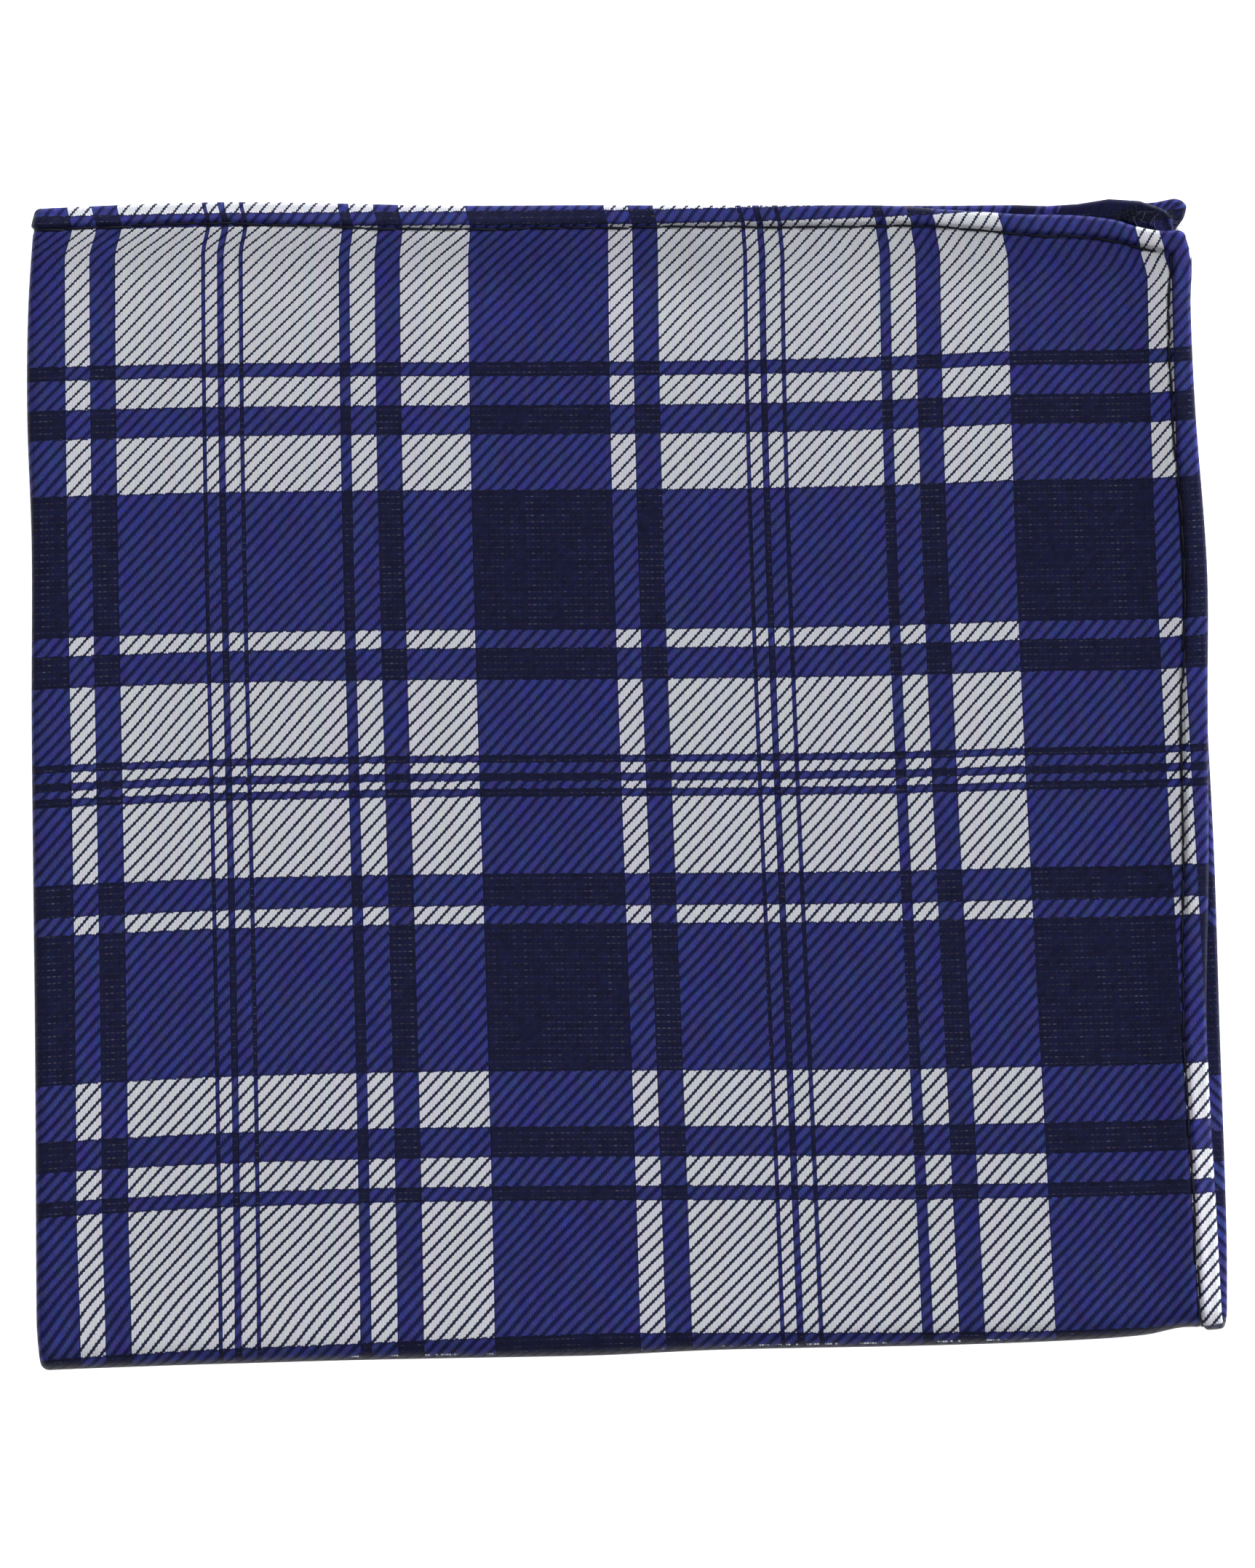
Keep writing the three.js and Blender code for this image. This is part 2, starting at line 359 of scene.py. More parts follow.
# Worked out from the sizes above.
HALF_SHEET = SHEET / 2
FOLD_RADIUS = LAYER_PITCH / 2
PAIR_FOLD_RADIUS = LAYER_PITCH
MIDDLE_HEIGHT = PAIR_FOLD_RADIUS + FOLD_RADIUS + HALF_SHEET
QUARTER_TURN = FOLD_RADIUS * math.pi / 2
PAIR_QUARTER_TURN = PAIR_FOLD_RADIUS * math.pi / 2
HALF_ACROSS = FOLDED_WIDTH - HALF_SHEET - FOLD_RADIUS + QUARTER_TURN
HALF_DOWN = FOLDED_LENGTH - MIDDLE_HEIGHT + PAIR_QUARTER_TURN
WIDEST_HEM = max(TOP_SEAM["width"].max(), RIGHT_SEAM["width"].max()) + PAST_HEM


def smooth(share):
    """An S curve from 0 to 1: three times the square less twice the cube."""
    share = np.clip(share, 0, 1)
    return share * share * (3 - 2 * share)


def ease_away(distance, width):
    """1 at no distance, falling in an S curve to 0 at the given width."""
    return smooth(1 - distance / width)


def through(rows, column, at):
    """A smooth curve through one column of a table: a cubic between each two rows, whose
    slope at a row is that of the straight line between the rows beside it."""
    where, reach = rows["at"], rows[column]
    before = np.maximum(np.arange(len(rows)) - 1, 0)
    after = np.minimum(np.arange(len(rows)) + 1, len(rows) - 1)
    slope = (reach[after] - reach[before]) / (where[after] - where[before])
    row = np.clip(np.searchsorted(where, at) - 1, 0, len(rows) - 2)
    step = where[row + 1] - where[row]
    t = np.clip((at - where[row]) / step, 0, 1)
    bend = smooth(t)
    lean = step * t * (1 - t) * (slope[row] * (1 - t) - slope[row + 1] * t)
    return reach[row] * (1 - bend) + reach[row + 1] * bend + lean


def on_table(across, up):
    """The place on the table of a point given along the threads: a sum of powers of both."""
    powers = [(across / GRAIN_SPAN) ** row["across"] * (up / GRAIN_SPAN) ** row["up"] for row in GRAIN]
    x = sum(row["x"] * power for row, power in zip(GRAIN, powers))
    y = sum(row["y"] * power for row, power in zip(GRAIN, powers))
    return x, y


def bend_round(travel, radius, offset):
    """A half turn and a straight run after it, for a point that lies offset outside the radius.

    travel is the way along the cloth from the turn's middle. Over a quarter of the circle the
    point swings by travel / radius, and past it the point runs straight on. Given back are the
    distance in from the turn's outermost line, the height beside its middle, and a share that
    goes from 0 on the one side to 1 on the other.
    """
    quarter = radius * math.pi / 2
    angle = np.clip(np.abs(travel) / quarter, 0, 1) * math.pi / 2
    reach = radius + offset
    inwards = radius - reach * np.cos(angle) + np.maximum(0, np.abs(travel) - quarter)
    rise = np.sign(travel) * np.sin(angle)
    return inwards, reach * rise, (1 + rise) / 2


def hem_reach(rows, at, outer, upper):
    """One reach for all four layers, mixed where the cloth turns from one layer to the next."""
    below = through(rows, "third", at) * (1 - outer) + through(rows, "fourth", at) * outer
    above = through(rows, "second", at) * (1 - outer) + through(rows, "first", at) * outer
    return below * (1 - upper) + above * upper


def swell(from_left, from_bottom, from_right, from_top, x, y):
    """The stack's height as a share of its plain one.

    It is more at the hems and folds, and less where a hem droops at its edge. Between them lie
    bell shaped rises and hollows.
    """
    hems = np.hypot(ease_away(from_right, HEM_SWELL_WIDTH), ease_away(from_top, HEM_SWELL_WIDTH))
    folds = np.hypot(ease_away(from_left, FOLD_SWELL_WIDTH), ease_away(from_bottom, FOLD_SWELL_WIDTH))
    leftwards = smooth((TOP_DROOP_FROM - x) / TOP_DROOP_SPREAD)
    downwards = smooth((RIGHT_DROOP_FROM - y) / RIGHT_DROOP_SPREAD)
    top_droop = TOP_DROOP_RIGHT * (1 - leftwards) + TOP_DROOP_LEFT * leftwards
    right_droop = RIGHT_DROOP_UPPER * (1 - downwards) + RIGHT_DROOP_LOWER * downwards
    share = 1 + HEM_SWELL * hems + FOLD_SWELL * folds
    share = share - top_droop * ease_away(from_top, DROOP_WIDTH)
    share = share - right_droop * ease_away(from_right, DROOP_WIDTH)
    for wave in WAVES:
        out = ((x - wave["x"]) / wave["across_reach"]) ** 2 + ((y - wave["y"]) / wave["up_reach"]) ** 2
        share = share + wave["share"] * np.exp(-out)
    return share


def round_corner(from_right, from_top):
    """Moves a point near the hemmed corner so that the corner is a round one.

    The square at the corner becomes a quarter of a disc: each way is shortened by the root of
    one less half the other's square. The distance from the round edge is given back too.
    """
    a = np.clip(1 - from_right / CORNER_ROUNDING, 0, 1)
    b = np.clip(1 - from_top / CORNER_ROUNDING, 0, 1)
    shorter_a = a * (np.sqrt(1 - b * b / 2) - 1)
    shorter_b = b * (np.sqrt(1 - a * a / 2) - 1)
    rounded = CORNER_ROUNDING * (1 - np.sqrt(a * a + b * b - a * a * b * b))
    from_edge = np.where((a > 0) | (b > 0), rounded, np.minimum(from_right, from_top))
    return from_right - CORNER_ROUNDING * shorter_a, from_top - CORNER_ROUNDING * shorter_b, from_edge


def top_hem_width(across):
    """The top hem's width along the cloth, the same on both sides of the first fold."""
    return through(TOP_SEAM, "width", FOLDED_WIDTH / 2 - HALF_ACROSS + np.abs(across))


def right_hem_width(down):
    """The right hem's width along the cloth, the same on both sides of the second fold."""
    return through(RIGHT_SEAM, "width", FOLDED_LENGTH / 2 - HALF_DOWN + np.abs(down))


def skins(across, down):
    """How far the face and the wrong side lie from the middle of the cloth.

    Inside the hem the face follows the lower of two S curves, one that climbs from the edge to
    the crest and one that falls from there to the stitches, and the wrong side is thicker. The
    bottom layer has no crest. At the stitches the face dips in a bell curve, deepest where the
    thread goes in, and at the edge both skins meet in half an ellipse.
    """
    from_right = HALF_ACROSS - np.abs(across)
    from_top = HALF_DOWN - np.abs(down)
    _, _, from_edge = round_corner(from_right, from_top)
    beside_top = from_top / top_hem_width(across) < from_right / right_hem_width(down)
    hem = np.where(beside_top, top_hem_width(across), right_hem_width(down))
    along = np.where(beside_top, across, down)

    on_bottom_layer = (across > 0) & (down < 0)
    rise = np.clip(from_edge / hem, 0, 1)
    climb = smooth(HEM_CREST_START + (1 - HEM_CREST_START) * rise / HEM_CREST_PLACE)
    fall = smooth((1 - rise) / (1 - HEM_CREST_PLACE))
    crest = np.where(on_bottom_layer, 0, HEM_CREST) * np.minimum(climb, fall)
    holes = 1 - HOLE_SHARE + HOLE_SHARE * np.cos(2 * math.pi * along / STITCH_LENGTH)
    groove = GROOVE_DEPTH * holes * np.exp(-(((from_edge - hem) / GROOVE_WIDTH) ** 2))
    face = HALF_SHEET + crest - groove
    back = HALF_SHEET + HEM_UNDERSIDE * smooth((hem - from_edge) / HEM_STEP + 0.5)

    middle = (face - back) / 2
    half = (face + back) / 2
    rounding = np.sqrt(1 - np.clip(1 - from_edge / EDGE_ROUNDING, 0, 1) ** 2)
    return middle + half * rounding, middle - half * rounding


def place(across, down, offset):
    """The place in space, in millimetres, of points of the cloth.

    across and down are signed ways along the cloth from its two folds: across is positive on
    the first and fourth layers, and down on the first and second. offset is the distance from
    the cloth's middle, positive towards its face. The sheet bends round the first fold and then,
    as a pair of layers, round the second one. The outline's tables and the lean of the threads
    then set it on the table, and the swell scales its height.
    """
    pair_in, pair_side, outer = bend_round(across, FOLD_RADIUS, offset)
    stack_in, stack_side, upper = bend_round(down, PAIR_FOLD_RADIUS, pair_side)
    from_left = pair_in + HALF_SHEET
    from_bottom = stack_in + FOLD_RADIUS + HALF_SHEET
    from_right, from_top, _ = round_corner(FOLDED_WIDTH - from_left, FOLDED_LENGTH - from_bottom)
    from_left = FOLDED_WIDTH - from_right
    from_bottom = FOLDED_LENGTH - from_top

    share_across = from_left / FOLDED_WIDTH
    share_up = from_bottom / FOLDED_LENGTH
    near_across = FOLDED_WIDTH * (share_across - 0.5)
    near_up = FOLDED_LENGTH * (share_up - 0.5)
    left = through(LEFT_FOLD, "reach", near_up)
    right = hem_reach(RIGHT_HEM, near_up, outer, upper)
    bottom = through(BOTTOM_FOLD, "reach", near_across)
    top = hem_reach(TOP_HEM, near_across, outer, upper)
    x, y = on_table(left + (right - left) * share_across, bottom + (top - bottom) * share_up)

    lift = swell(from_left, from_bottom, from_right, from_top, x, y)
    z = np.maximum((MIDDLE_HEIGHT + stack_side) * lift, 0)
    return np.stack([x, y, z], axis=-1)


def drawn_by_seams(u, v, from_middle_across, from_middle_up):
    """The plaid's coordinates where the seams and the folds draw them.

    Each draw is a length of cloth times S curves that fall to 0 away from its seam: the right
    hem's pull grows upwards, the whole plaid slants with the product of both distances, and
    the top hem's tilt and gather grow with the distance across.
    """
    from_left = FOLDED_WIDTH / 2 + from_middle_across
    from_right = FOLDED_WIDTH / 2 - from_middle_across
    from_bottom = FOLDED_LENGTH / 2 + from_middle_up
    from_top = FOLDED_LENGTH / 2 - from_middle_up
    seam = through(TOP_SEAM, "width", from_middle_across)

    up = from_middle_up / GRAIN_SPAN
    low_left = smooth((LOW_DROP_END - from_middle_across) / LOW_DROP_SPREAD)
    v = v + ease_away(from_right, RIGHT_PULL_REACH) * (RIGHT_PULL + RIGHT_PULL_RISE * up)
    v = v + SLANT * up * from_middle_across / GRAIN_SPAN
    v = v + TOP_TILT * from_middle_across * ease_away(from_top, TOP_TILT_REACH)
    v = v + LOW_DROP * low_left * ease_away(from_bottom, LOW_DROP_REACH)

    below_seam = np.maximum(from_top - seam, 0)
    u = u - LOW_SHIFT * ease_away(from_left, LOW_SHIFT_ACROSS) * ease_away(from_bottom, LOW_SHIFT_UP)
    u = u + TOP_GATHER * from_middle_across * ease_away(below_seam, TOP_GATHER_REACH)
    u = u + TOP_SKEW * smooth(1 - from_top / seam)
    return u, v


def pattern(across, down):
    """The plaid's coordinates, in millimetres of cloth from the middle of the top layer.

    Each is counted along the cloth from a fold, the fold's round included, and stretched so
    that on the top layer it agrees with the outline's tables. The seams then draw it, and on
    the second layer it slips and rises in S curves away from the first fold. The outer layer's
    longer way round the second fold is added on, and taken back over the cloth underneath.
    """
    share_across = np.clip(1 - (HALF_ACROSS - np.abs(across)) / FOLDED_WIDTH, 0, 1)
    share_up = np.clip(1 - (HALF_DOWN - np.abs(down)) / FOLDED_LENGTH, 0, 1)
    near_across = FOLDED_WIDTH * (share_across - 0.5)
    near_up = FOLDED_LENGTH * (share_up - 0.5)
    left = through(LEFT_FOLD, "reach", near_up)
    bottom = through(BOTTOM_FOLD, "reach", near_across)
    outer = (across > 0).astype(float)
    upper = (down > 0).astype(float)
    right = hem_reach(RIGHT_HEM, near_up, np.ones_like(outer), upper)
    top = hem_reach(TOP_HEM, near_across, outer, np.ones_like(upper))
    turn = QUARTER_TURN - FOLD_RADIUS - HALF_SHEET
    pair_turn = PAIR_QUARTER_TURN - MIDDLE_HEIGHT
    u = left - turn + across * (right - left + turn) / HALF_ACROSS
    v = bottom - pair_turn + down * (top - bottom + pair_turn) / HALF_DOWN
    u, v = drawn_by_seams(u, v, near_across, near_up)

    near_top = ease_away(FOLDED_LENGTH / 2 - near_up, UNDER_SLIP_DEPTH)
    u = u + UNDER_SLIP * smooth(-across / UNDER_SLIP_REACH) * near_top
    v = v + UNDER_RISE * upper * smooth(-across / HALF_ACROSS)
    on_second_layer = (across < 0) & (down > 0)
    v = np.where(on_second_layer, np.minimum(v, DOWN_START - UNDER_COVER), v)

    longer_way = (MIDDLE_HEIGHT - PAIR_FOLD_RADIUS) * math.pi / 2
    outside = smooth(across / QUARTER_TURN)
    into_turn = np.where(down > 0, 1 - down / PAIR_QUARTER_TURN, 1 + down / UNDER_EASE)
    return u, v - longer_way * outside * np.clip(into_turn, 0, 1)


def sections(half, quarter, step):
    """Where the mesh has its lines on one side of a fold, as distances from the fold's middle:
    close together round the edge, over the hem and round the fold, and a step apart between."""
    edge = EDGE_ROUNDING * (1 - np.cos(np.linspace(0, math.pi / 2, EDGE_LINES)))
    hem = np.linspace(EDGE_ROUNDING, WIDEST_HEM, HEM_LINES)
    from_edge = np.concatenate([edge, hem[1:]])
    turn = np.linspace(0, quarter, TURN_LINES)[1:]
    last = half - WIDEST_HEM
    between = np.linspace(quarter, last, max(2, round((last - quarter) / step)) + 1)[1:-1]
    return np.concatenate([turn, between, (half - from_edge)[::-1]])


def both_sides(half, quarter):
    """The mesh lines over the whole cloth, coarser on the side that lies underneath."""
    seen = sections(half, quarter, SEEN_STEP)
    hidden = sections(half, quarter, HIDDEN_STEP)
    return np.concatenate([-hidden[::-1], [0], seen])


def grid_faces(rows, columns):
    """The four corners of each cell of a grid, row by row, as point numbers."""
    cell = np.arange((rows - 1) * columns).reshape(rows - 1, columns)[:, :-1].ravel()
    return np.stack([cell, cell + 1, cell + 1 + columns, cell + columns], axis=-1)


def make_mesh(name, points, faces, uv=None, way=None):
    """A smooth mesh piece from arrays: points in millimetres, faces as point numbers, and for
    each point a pattern coordinate and its way down the cloth from the lower fold."""
    mesh = bpy.data.meshes.new(name)
    mesh.from_pydata((points * MM).tolist(), [], faces if isinstance(faces, list) else faces.tolist())
    mesh.polygons.foreach_set("use_smooth", np.ones(len(mesh.polygons), dtype=bool))
    if uv is not None:
        corners = np.empty(len(mesh.loops), dtype=np.int32)
        mesh.loops.foreach_get("vertex_index", corners)
        layer = mesh.uv_layers.new(name="cloth")
        layer.data.foreach_set("uv", uv[corners].astype(np.float32).ravel())
        from_fold = mesh.attributes.new("from_fold", "FLOAT", "POINT")
        from_fold.data.foreach_set("value", way.astype(np.float32))
    mesh.update()
    piece = bpy.data.objects.new(name, mesh)
    bpy.context.collection.objects.link(piece)
    return piece


def folded_sheet():
    """The whole cloth as one closed skin: a face grid, a wrong-side grid under it, and one
    line of points round the edge that both share."""
    across_lines = both_sides(HALF_ACROSS, QUARTER_TURN)
    down_lines = both_sides(HALF_DOWN, PAIR_QUARTER_TURN)
    across, down = np.meshgrid(across_lines, down_lines)
    face, back = skins(across, down)
    u, v = pattern(across, down)
    uv = np.stack([u, v], axis=-1).reshape(-1, 2)
    front = place(across, down, face).reshape(-1, 3)
    wrong = place(across, down, back).reshape(-1, 3)

    rows, columns = across.shape
    cells = grid_faces(rows, columns)
    number = np.arange(rows * columns).reshape(rows, columns)
    inside = np.zeros((rows, columns), dtype=bool)
    inside[1:-1, 1:-1] = True
    under = number.copy()
    under[inside] = rows * columns + np.arange(inside.sum())
    under_cells = under.ravel()[cells[:, ::-1]]
    points = np.concatenate([front, wrong[inside.ravel()]])
    uvs = np.concatenate([uv, uv[inside.ravel()]])
    ways = np.concatenate([down.ravel(), down[inside]])
    return make_mesh("plaid_sheet", points, np.concatenate([cells, under_cells]), uvs, ways)


def tubes(name, paths, radii, sides):
    """Closed tubes along many paths at once. paths holds each tube's points and radii the
    radius at each; a ring of the given number of sides stands square to the path at each
    point, and each end is closed by one face."""
    count, steps, _ = paths.shape
    along = np.gradient(paths, axis=1)
    along /= np.linalg.norm(along, axis=2, keepdims=True)
    level = np.cross(along, [0, 0, 1])
    level /= np.maximum(np.linalg.norm(level, axis=2, keepdims=True), 1e-9)
    upright = np.cross(level, along)
    angle = np.arange(sides) * 2 * math.pi / sides
    ring = level[:, :, None] * np.cos(angle)[:, None] + upright[:, :, None] * np.sin(angle)[:, None]
    points = (paths[:, :, None] + ring * radii[:, :, None, None]).reshape(-1, 3)

    start = (np.arange(count * steps).reshape(count, steps) * sides)[:, :-1, None]
    side = np.arange(sides)
    after = (side + 1) % sides
    walls = np.stack([start + side, start + after, start + sides + after, start + sides + side], axis=-1)
    first = np.arange(count)[:, None] * steps * sides
    caps = [first + side[::-1], first + (steps - 1) * sides + side]
    return make_mesh(name, points, walls.reshape(-1, 4).tolist() + np.concatenate(caps).tolist())


def hem_stitches():
    """A row of stitches round the whole hem.

    Each rises steeply out of the cloth in a power of half a sine wave, lies on its face and
    goes back in, a little askew. None sinks past the plane that the cloth rests on.
    """
    askew = np.random.default_rng(4)
    share = np.linspace(0, 1, STITCH_STEPS)
    across_parts, down_parts = [], []
    for half, other_half, width, is_top in [
        (HALF_DOWN, HALF_ACROSS, top_hem_width, True),
        (HALF_ACROSS, HALF_DOWN, right_hem_width, False),
    ]:
        for side in (-1, 1):
            whole = math.floor((other_half - STITCH_CLEARANCE) / STITCH_LENGTH)
            first = np.arange(-whole, whole)[:, None] * STITCH_LENGTH
            along = first + STITCH_GAP / 2 + share * (STITCH_LENGTH - STITCH_GAP)
            lean = askew.normal(0, STITCH_WAVE, (len(first), 2))
            beside = side * (half - width(along)) + lean[:, :1] * (1 - share) + lean[:, 1:] * share
            across_parts.append(along if is_top else beside)
            down_parts.append(beside if is_top else along)
    across = np.concatenate(across_parts)
    down = np.concatenate(down_parts)
    face, _ = skins(across, down)
    rise = np.sin(math.pi * share) ** STITCH_BULGE
    paths = place(across, down, face + THREAD * (THREAD_LIFT * rise - THREAD_SUNK))
    radii = THREAD / 2 * (THREAD_AT_HOLE + (1 - THREAD_AT_HOLE) * rise)
    radii = np.broadcast_to(radii, across.shape)
    paths[..., 2] = np.maximum(paths[..., 2], radii)
    return tubes("hem_stitches", paths, radii, STITCH_SIDES)


def loose_fibres(name, groups, seed):
    """Fine loose fibres at the open corner. Each starts at a random place of its group, runs to
    a random side, bends in half a sine wave and thins out towards its end."""
    loose = np.random.default_rng(seed)
    share = np.linspace(0, 1, FIBRE_STEPS)
    paths, radii = [], []
    for group in groups:
        count = group["count"]
        angle = loose.uniform(0, 2 * math.pi, count)
        length = group["length"] * loose.uniform(*FIBRE_LENGTHS, count)
        run = np.stack([np.cos(angle), np.sin(angle), np.zeros(count)], axis=-1) * length[:, None]
        side = np.stack([-np.sin(angle), np.cos(angle), np.zeros(count)], axis=-1)
        bend = side * (loose.normal(0, FIBRE_BEND, count) * length)[:, None]
        middle = [group["x"], group["y"], group["z"]]
        spread = [group["wide"], group["deep"], group["high"]]
        start = middle + loose.uniform(-1, 1, (count, 3)) * spread
        path = start[:, None] + run[:, None] * (share[:, None] - 0.5)
        path = path + bend[:, None] * np.sin(math.pi * share)[:, None]
        thickness = loose.uniform(*FIBRE_THICKNESSES, count)
        paths.append(path)
        radii.append(np.outer(thickness, FIBRE / 2 * (1 - FIBRE_TAPER * share)))
    return tubes(name, np.concatenate(paths), np.concatenate(radii), FIBRE_SIDES)


class Recipe:
    """Short words for building a material's nodes."""

    def __init__(self, name):
        self.material = bpy.data.materials.new(name)
        self.material.use_nodes = True
        self.tree = self.material.node_tree
        self.shader = self.tree.nodes["Principled BSDF"]

    def node(self, kind, **settings):
        made = self.tree.nodes.new(kind)
        for key, value in settings.items():
            setattr(made, key, value)
        return made

    def feed(self, socket, value):
        """Joins a socket to another one, or gives it a plain value."""
        if isinstance(value, bpy.types.NodeSocket):
            self.tree.links.new(value, socket)
        else:
            socket.default_value = value

    def math(self, operation, *values, clamp=False):
        made = self.node("ShaderNodeMath", operation=operation, use_clamp=clamp)
        for socket, value in zip(made.inputs, values):
            self.feed(socket, value)
        return made.outputs[0]

    def line(self, value, slope, start):
        """The start, and the value times the slope added to it."""
        return self.math("MULTIPLY_ADD", value, slope, start)

    def product(self, first, *others):
        """All the values multiplied together."""
        for other in others:
            first = self.math("MULTIPLY", first, other)
        return first

    def blend(self, share, first, second, kind="MIX"):
        """The first colour with the given share of the second one, or of their product or overlay."""
        made = self.node("ShaderNodeMix", data_type="RGBA", blend_type=kind)
        self.feed(made.inputs[0], share)
        self.feed(made.inputs[6], first)
        self.feed(made.inputs[7], second)
        return made.outputs[2]

    def soft_step(self, value, edge, softness):
        """0 below the edge and 1 above it, with a ramp of the given width between."""
        shifted = self.math("SUBTRACT", value, edge)
        return self.math("MULTIPLY_ADD", shifted, 1 / softness, 0.5, clamp=True)

    def soft_drop(self, value, edge, softness):
        """1 below the edge and 0 above it, with a ramp of the given width between."""
        return self.soft_step(value, edge, -softness)

    def period_share(self, value, period):
        """How far the value is through its period, from 0 to 1."""
        return self.math("FRACT", self.math("DIVIDE", value, period))

    def whole_periods(self, value, period):
        """The number of the period that the value lies in."""
        return self.math("FLOOR", self.math("DIVIDE", value, period))

    def from_middle(self, value, period):
        """The distance from the middle of the period that the value lies in, up to half of it."""
        beside = self.math("SUBTRACT", self.period_share(value, period), 0.5)
        return self.product(self.math("ABSOLUTE", beside), period)


def srgb(red, green, blue):
    """A colour named by its screen values of 0 to 255, in the linear light that shaders use."""
    screen = np.array([red, green, blue]) / 255
    light = np.where(screen <= 0.04045, screen / 12.92, ((screen + 0.055) / 1.055) ** 2.4)
    return (*light.tolist(), 1)


WHITE_YARN = srgb(234, 236, 245)
WHITE_PAINTED_SHADE = srgb(120, 118, 134)
WHITE_GAP = srgb(40, 44, 72)
BLUE_YARN = srgb(61, 65, 136)
BLUE_GAP = srgb(26, 29, 80)
NAVY_YARN = srgb(33, 35, 75)
# The darker navy is a real tone of the navy yarns and also the colour of the painted shade at the bands'
# edges and the fold's rim.
NAVY_DARK_TONE_AND_SHADE = srgb(19, 21, 40)
NAVY_DASH = srgb(112, 110, 132)
THREAD_COLOUR = srgb(20, 21, 38)
DARK_FIBRE_COLOUR = srgb(24, 22, 40)
PALE_FIBRE_COLOUR = srgb(112, 108, 140)


def depth_in_blue(recipe, coordinate, start, widths, direction, blue_first=False):
    """How far a point lies inside a blue band, along one way of the cloth; below 0 in a white one.

    The coordinate is taken within the plaid's repeat. Each band gives half its width less the
    distance from its middle, and the largest of them counts.
    """
    along = recipe.math("MULTIPLY", recipe.math("SUBTRACT", coordinate, start), direction)
    along = recipe.math("FLOORED_MODULO", along, sum(widths))
    edges = np.concatenate([[0], np.cumsum(widths)])
    depth = -sum(widths)
    for number in range(0 if blue_first else 1, len(widths), 2):
        middle = (edges[number] + edges[number + 1]) / 2
        away = recipe.math("ABSOLUTE", recipe.math("SUBTRACT", along, middle))
        depth = recipe.math("MAXIMUM", recipe.math("SUBTRACT", widths[number] / 2, away), depth)
    return depth


def random_for(recipe, number, seed):
    """A node with a random value and a random colour for each whole number."""
    noise = recipe.node("ShaderNodeTexWhiteNoise", noise_dimensions="2D")
    pair = recipe.node("ShaderNodeCombineXYZ")
    recipe.feed(pair.inputs[0], number)
    recipe.feed(pair.inputs[1], seed)
    recipe.feed(noise.inputs["Vector"], pair.outputs[0])
    return noise


def soft_cloud(recipe, u, v, width, length, seed):
    """A node with a smooth random value and colour that change over the given width and length
    of cloth."""
    point = recipe.node("ShaderNodeCombineXYZ")
    recipe.feed(point.inputs[0], recipe.math("DIVIDE", u, width))
    recipe.feed(point.inputs[1], recipe.math("DIVIDE", v, length))
    recipe.feed(point.inputs[2], seed)
    cloud = recipe.node("ShaderNodeTexNoise")
    cloud.inputs["Scale"].default_value = 1
    cloud.inputs["Detail"].default_value = 1
    recipe.feed(cloud.inputs["Vector"], point.outputs[0])
    return cloud


def twill_lines(recipe, u, v):
    """The number of the yarn and of the pick, the yarn's roundness from 0 at its middle to 1 at
    its sides, and the distance from the middle of the nearest twill line.

    The roundness is the square of the distance from the yarn's middle. A line climbs one pick
    with each yarn, less steeply inside a yarn, and a wide cloud makes it wander.
    """
    yarn = recipe.whole_periods(u, YARN)
    beside = recipe.math("SUBTRACT", recipe.period_share(u, YARN), 0.5)
    roundness = recipe.product(beside, beside, 4)

    wander = soft_cloud(recipe, u, v, width=14, length=14, seed=3).outputs["Fac"]
    picks = recipe.math("DIVIDE", recipe.line(wander, LINE_WANDER, v), PICK)
    climb = recipe.line(beside, CLIMB_IN_YARN, yarn)
    from_line = recipe.from_middle(recipe.math("SUBTRACT", climb, picks), TWILL_YARNS)
    return yarn, recipe.math("FLOOR", picks), roundness, recipe.product(from_line, PICK)


def toothed_height(recipe, v, yarn, roundness):
    """The height on the cloth, moved so that the level bands get toothed and frayed edges."""
    tooth = recipe.period_share(yarn, TWILL_YARNS)
    frayed = random_for(recipe, yarn, seed=3).outputs["Value"]
    height = recipe.line(tooth, TOOTH, recipe.math("SUBTRACT", v, TOOTH_LOW * TOOTH))
    height = recipe.line(roundness, YARN_END, height)
    return recipe.line(frayed, FRAY, height)


def line_widths(recipe, u, v, roundness):
    """Half the width of a twill line, on white cloth and on blue cloth."""
    cloud = soft_cloud(recipe, u, v, width=0.5, length=0.5, seed=15).outputs["Fac"]
    more = recipe.line(v, LINE_FALL, recipe.line(cloud, LINE_VARIES, -LINE_VARIES / 2))
    on_white = recipe.math("ADD", recipe.line(roundness, LINE_AT_SIDES, WHITE_LINE), more)
    on_blue = recipe.math("ADD", recipe.line(roundness, LINE_AT_SIDES, BLUE_LINE), more)
    return on_white, on_blue


def white_cloth(recipe, yarn, roundness, on_float):
    """White floats, with painted shade at their rounded sides and each a little different, and the gaps
    between.
    """
    own = random_for(recipe, yarn, seed=1).outputs["Color"]
    # Painted shade: the white darkens towards a grey at each yarn's rounded sides.
    colour = recipe.blend(recipe.product(roundness, YARN_SIDE_PAINTED_SHADE), WHITE_YARN, WHITE_PAINTED_SHADE)
    colour = recipe.blend(YARN_VARIES, colour, own, "MULTIPLY")
    return recipe.blend(on_float, WHITE_GAP, colour)


def blue_cloth(recipe, u, v, on_float):
    """Blue floats and darker gaps, with a hue that drifts along the yarns."""
    hue = soft_cloud(recipe, u, v, width=1.0, length=4.0, seed=7).outputs["Color"]
    return recipe.blend(HUE_DRIFTS, recipe.blend(on_float, BLUE_GAP, BLUE_YARN), hue, "OVERLAY")


